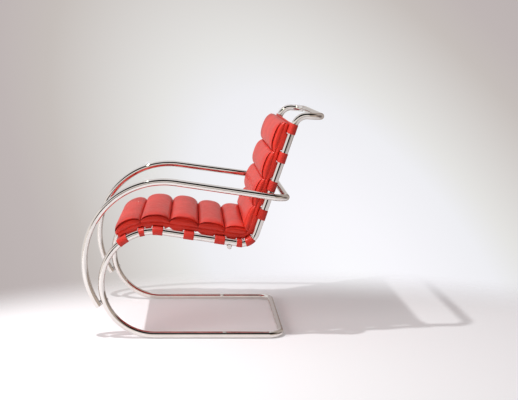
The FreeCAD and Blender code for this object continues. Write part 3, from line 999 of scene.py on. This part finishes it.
def backing_mesh():
    """Padded backing under all the rolls, thinner at each valley, sagging between the straps and round at its
    sides and ends."""
    start = RAIL_START + CUSHION_FRONT
    end = RAIL_START + CUSHION_TOP
    valleys = [RAIL_START + v for v in SEAT_BOUNDS] + [CREASE] + [RAIL_START + v for v in BACK_BOUNDS]
    straps = [(RAIL_START + station, width) for places in STRAPS.values() for station, width in places]
    middle = (BACKING_LOW + BACKING_HIGH) / 2
    rings = []
    for i in range(BACKING_STEPS + 1):
        distance = start + (end - start) * i / BACKING_STEPS
        from_end = min(distance - start, end - distance)
        share = max(0.0, 1 - (1 - min(1.0, from_end / BACKING_ROUND)) ** 2) ** 0.5
        thick = max(share, 0.12)
        lift = 0.0
        for low, high in zip(valleys, valleys[1:]):
            if low <= distance <= high:
                lift = abs(2 * (distance - low) / (high - low) - 1) ** (5 if distance < CREASE else 4)
        clear = min(abs(distance - station) - width / 2 for station, width in straps)
        free = smooth_share((clear - 0.5) / SAG_FROM_STRAP) * smooth_share(from_end / SAG_FROM_END)
        drop = BACKING_LIFT * lift - BACKING_SAG * free * (1 - lift)
        ring = []
        for y, upper, lower in backing_outline():
            side_share = min(1.0, max(0.0, (abs(y) - SAG_GROWS[0]) / (SAG_GROWS[1] - SAG_GROWS[0])))
            under = BACKING_LOW + drop * (SAG_MIDDLE + (1 - SAG_MIDDLE) * side_share)
            height = middle + (BACKING_HIGH - middle) * upper * thick - (middle - under) * lower * thick
            spot = LINE.beside(distance, height)
            ring.append(Vector((spot.x, y * (1 - 0.012 * (1 - share)), spot.z)))
        rings.append(ring)
    return closed_mesh("backing_pad", rings)


def cushion_leather(settings):
    """Leather of the rolls, welts and backing, made once."""
    found = bpy.data.materials.get("upholstery_leather")
    return found or leather("upholstery_leather", settings.leather_colour, settings.leather_shade, 2.2, 0.42,
                            0.7)


class CHAIR_OT_backing(bpy.types.Operator):
    """Padded leather backing that carries the rolls"""
    bl_idname = "chair.backing"
    bl_label = "Backing"

    def execute(self, context):
        piece = plain_object("backing_pad", backing_mesh(), cushion_leather(context.scene.chair_cushion))
        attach(piece, "root")
        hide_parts("cushion_backing")
        return {"FINISHED"}


class CHAIR_OT_rolls(bpy.types.Operator):
    """Nine stuffed leather rolls with puffed end bands and welts"""
    bl_idname = "chair.rolls"
    bl_label = "Rolls"

    def execute(self, context):
        settings = context.scene.chair_cushion
        hide = cushion_leather(settings)
        welts = []
        for node, line, low, high, side, crown in roll_places():
            mesh, points = roll_mesh("stuffed_" + node, line, low, high, side, crown * settings.fullness)
            piece = plain_object("stuffed_" + node, mesh, hide)
            swell(piece, settings, line, low, high, side)
            pucker(piece, 0.35)
            finer = piece.modifiers.new("rounding", "SUBSURF")
            finer.levels = 1
            finer.render_levels = 1
            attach(piece, "root")
            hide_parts(node)
            last = len(points) - 1
            for row in (WELT_ROW, last - WELT_ROW):
                welts.append(points[row])
            for row in (0, last):
                welts.append([p + Vector((0, math.copysign(WELT_OUT, p.y), 0)) for p in points[row]])
        for station in (CUSHION_FRONT + 2.0, CUSHION_TOP - 1.0):
            spot = LINE.beside(RAIL_START + station, BACKING_HIGH - 1.0)
            welts.append([(spot.x, y, spot.z) for y in END_WELT])
        piece = grown("cushion_welts", line_mesh("welt_lines", welts), piping_tree(),
                      {"Radius": settings.welt_radius, "Material": hide})
        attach(piece, "root")
        return {"FINISHED"}


# Stage

# The middle of the floor, where from there it starts and ends to fade into the backdrop, and its reach, in
# metres, and how much brighter than lit the camera sees it
FLOOR_MIDDLE = (0.4, -1.5, 0.0)
FLOOR_FADE = (1.75, 2.4)
FLOOR_REACH = 14.0
FLOOR_GLOW = 0.14

# Place, aim and size of each lamp in metres
KEY_LAMP = ((-0.867, -0.646, 2.546), (0.1, 0.0, 0.3), 0.06)
SOFTBOX = ((-2.9, -2.0, 1.5), (0.0, 0.0, 0.5), 1.8)

# Camera: place in metres, degrees down, lens and sensor in millimetres, and sideways shift
CAMERA_PLACE = (-0.0285, -3.6682, 1.03896)
CAMERA_DOWN = 8.67
CAMERA_LENS = 64.91
CAMERA_SENSOR = 36.0
CAMERA_SHIFT = 0.1254


def maths(tree, operation, first, second):
    """Result of a sum on two values."""
    return add_node(tree, "Math", {0: first, 1: second}, operation=operation)


def dotted(tree, direction, axis):
    """How far a direction goes along an axis."""
    return add_node(tree, "VectorMath", {0: direction, 1: axis}, operation="DOT_PRODUCT").outputs["Value"]


def away_from(tree, place, middle):
    """Distance between two places."""
    return add_node(tree, "VectorMath", {0: place, 1: middle}, operation="DISTANCE").outputs["Value"]


def background_rays(tree):
    """1 for camera, mirrored and see-through rays, so that metal shows the backdrop that the camera sees."""
    path = add_node(tree, "LightPath").outputs
    plain = maths(tree, "MAXIMUM", path["Is Camera Ray"], path["Is Glossy Ray"])
    return maths(tree, "MAXIMUM", plain, path["Is Transmission Ray"])


def floor_material(settings):
    """White studio floor: matt, brighter to the camera than it is lit, and fading into the backdrop."""
    material, tree, place = new_material("studio_floor")
    seen = background_rays(tree)
    fade = ranged(tree, away_from(tree, place, FLOOR_MIDDLE), *FLOOR_FADE, interpolation="SMOOTHSTEP")
    matt = add_node(tree, "BsdfDiffuse", {"Color": settings.floor_colour})
    strength = maths(tree, "MULTIPLY", seen, FLOOR_GLOW)
    glow = add_node(tree, "Emission", {"Color": "#fffafa", "Strength": strength})
    both = add_node(tree, "AddShader", {0: matt, 1: glow})
    share = maths(tree, "MULTIPLY", seen, fade)
    surface = add_node(tree, "MixShader", {0: share, 1: both, 2: add_node(tree, "BsdfTransparent")})
    add_node(tree, "OutputMaterial", {"Surface": surface})
    return material


def studio_world(ambient):
    """Even room light, a backdrop that falls off toward its edges, and a room on the camera's side that the
    chrome mirrors."""
    world = bpy.data.worlds.new("studio")
    bpy.context.scene.world = world
    world.use_nodes = True
    tree = world.node_tree
    tree.nodes.clear()
    direction = add_node(tree, "TexCoord").outputs["Generated"]
    axes = add_node(tree, "SeparateXYZ", {0: direction}).outputs
    # The backdrop is brightest in a slanted oval low behind the chair
    along = dotted(tree, direction, (1.0, 0.0685, 0.4493))
    upward = dotted(tree, direction, (0.0, 0.1055, 0.692))
    spot = add_node(tree, "CombineXYZ", {"X": along, "Y": upward})
    away = away_from(tree, spot, (0.128, -0.06, 0.0))
    oval = ramp(tree, away, (0.0, "#fcfcff"), (0.055, "#f9f8fd"), (0.14, "#efeff3"), (0.175, "#e5e4e2"),
                (0.268, "#c6bfbb"), (0.31, "#bfb6b5"), (0.38, "#bab1b0"))
    behind = ranged(tree, axes["Y"], 0.72, 0.92, interpolation="SMOOTHSTEP")
    backdrop = mixed(tree, behind, "#eeedee", oval)
    # The room is pale up to above eye level and dark from there to the edge of a pale ceiling
    level = ranged(tree, axes["Z"], -1.0, 1.0)
    room = ramp(tree, level, (0.0, "#fbf5f0"), (0.715, "#fbf5f0"), (0.745, "#0a0606"), (0.982, "#0a0606"),
                (0.992, "#a9a7a9"), (1.0, "#dcdcdf"))
    near = ranged(tree, axes["Y"], 0.02, -0.12)
    # Tan screens stand at its right
    side = ranged(tree, axes["X"], -1.0, 1.0)
    screens = ramp(tree, side, (0.0, "#ffffff"), (0.58, "#ffffff"), (0.64, "#b9ada3"), (0.9, "#cfc6be"),
                   (1.0, "#6e6460"))
    toned = mixed(tree, 1.0, mixed(tree, near, backdrop, room), screens, "MULTIPLY")
    # A low dark opening behind the camera, which the uprights mirror as a streak along their middle
    slant = ranged(tree, dotted(tree, direction, (0.336, 0.0, 1.0)), -0.21, 0.03)
    rows = ramp(tree, slant, (0.0, "#000000"), (0.15, "#ffffff"), (0.85, "#ffffff"), (1.0, "#000000"))
    columns = ramp(tree, side, (0.16, "#000000"), (0.22, "#ffffff"), (0.54, "#ffffff"), (0.62, "#000000"))
    opening = mixed(tree, 1.0, rows, columns, "MULTIPLY")
    mirrored_room = mixed(tree, maths(tree, "MULTIPLY", opening, near), toned, "#2a2220")
    even = add_node(tree, "Background", {"Color": "#fff6f5", "Strength": ambient})
    glossy = add_node(tree, "Background", {"Color": mirrored_room, "Strength": 1.0})
    seen = add_node(tree, "Background", {"Color": backdrop, "Strength": 1.0})
    gloss_mix = add_node(tree, "MixShader", {0: background_rays(tree), 1: even, 2: glossy})
    camera_ray = add_node(tree, "LightPath").outputs["Is Camera Ray"]
    surface = add_node(tree, "MixShader", {0: camera_ray, 1: gloss_mix, 2: seen})
    add_node(tree, "OutputWorld", {"Surface": surface})


def lamp(name, place, target, size, power, mirrored):
    """Round lamp, which the chrome and leather mirror or not."""
    data = bpy.data.lights.new(name, "AREA")
    data.shape = "DISK"
    data.size = size
    data.energy = power
    item = linked(name, data)
    item.location = place
    item.rotation_euler = (Vector(target) - Vector(place)).to_track_quat("-Z", "Y").to_euler()
    item.visible_glossy = mirrored


class CHAIR_OT_stage(bpy.types.Operator):
    """Floor, lamps, backdrop and camera"""
    bl_idname = "chair.stage"
    bl_label = "Stage"

    def execute(self, context):
        settings = context.scene.chair_stage
        scene = context.scene
        scene.view_settings.view_transform = "Standard"
        mesh = bpy.data.meshes.new("studio_floor")
        corners = [(x * FLOOR_REACH, y * FLOOR_REACH, 0) for x, y in ((-1, -1), (1, -1), (1, 1), (-1, 1))]
        mesh.from_pydata(corners, [], [(0, 1, 2, 3)])
        mesh.materials.append(floor_material(settings))
        floor = linked("studio_floor", mesh)
        studio_world(settings.ambient)
        lamp("key_lamp", *KEY_LAMP, settings.key_power, True)
        lamp("softbox", *SOFTBOX, settings.softbox_power, False)
        data = bpy.data.cameras.new("camera")
        data.lens = CAMERA_LENS
        data.sensor_width = CAMERA_SENSOR
        data.shift_x = CAMERA_SHIFT
        camera = linked("camera", data)
        camera.location = CAMERA_PLACE
        camera.rotation_euler = (math.radians(90.0 - CAMERA_DOWN), 0.0, 0.0)
        scene.camera = camera
        return {"FINISHED"}


class CHAIR_PT_panel(bpy.types.Panel):
    """Lists the steps that build the chair"""
    bl_idname = "CHAIR_PT_panel"
    bl_label = "Lounge chair"
    bl_space_type = "VIEW_3D"
    bl_region_type = "UI"
    bl_category = "Lounge chair"

    def draw(self, context):
        for name in STEPS:
            self.layout.operator(name)


STEPS = ("chair.stage", "chair.tubes", "chair.fittings", "chair.straps", "chair.backing", "chair.rolls")
GROUPS = {"chair_tubes": ChairTubeSettings, "chair_cushion": ChairCushionSettings,
          "chair_straps": ChairStrapSettings, "chair_stage": ChairStageSettings}
CLASSES = (*GROUPS.values(), CHAIR_OT_stage, CHAIR_OT_tubes, CHAIR_OT_fittings, CHAIR_OT_straps,
           CHAIR_OT_backing, CHAIR_OT_rolls, CHAIR_PT_panel)


def register():
    for item in CLASSES:
        bpy.utils.register_class(item)
    for name, group in GROUPS.items():
        setattr(bpy.types.Scene, name, PointerProperty(type=group))


def unregister():
    for name in GROUPS:
        delattr(bpy.types.Scene, name)
    for item in reversed(CLASSES):
        bpy.utils.unregister_class(item)


def main():
    register()
    for name in STEPS:
        group, call = name.split(".")
        getattr(getattr(bpy.ops, group), call)()


if __name__ == "__main__":
    main()
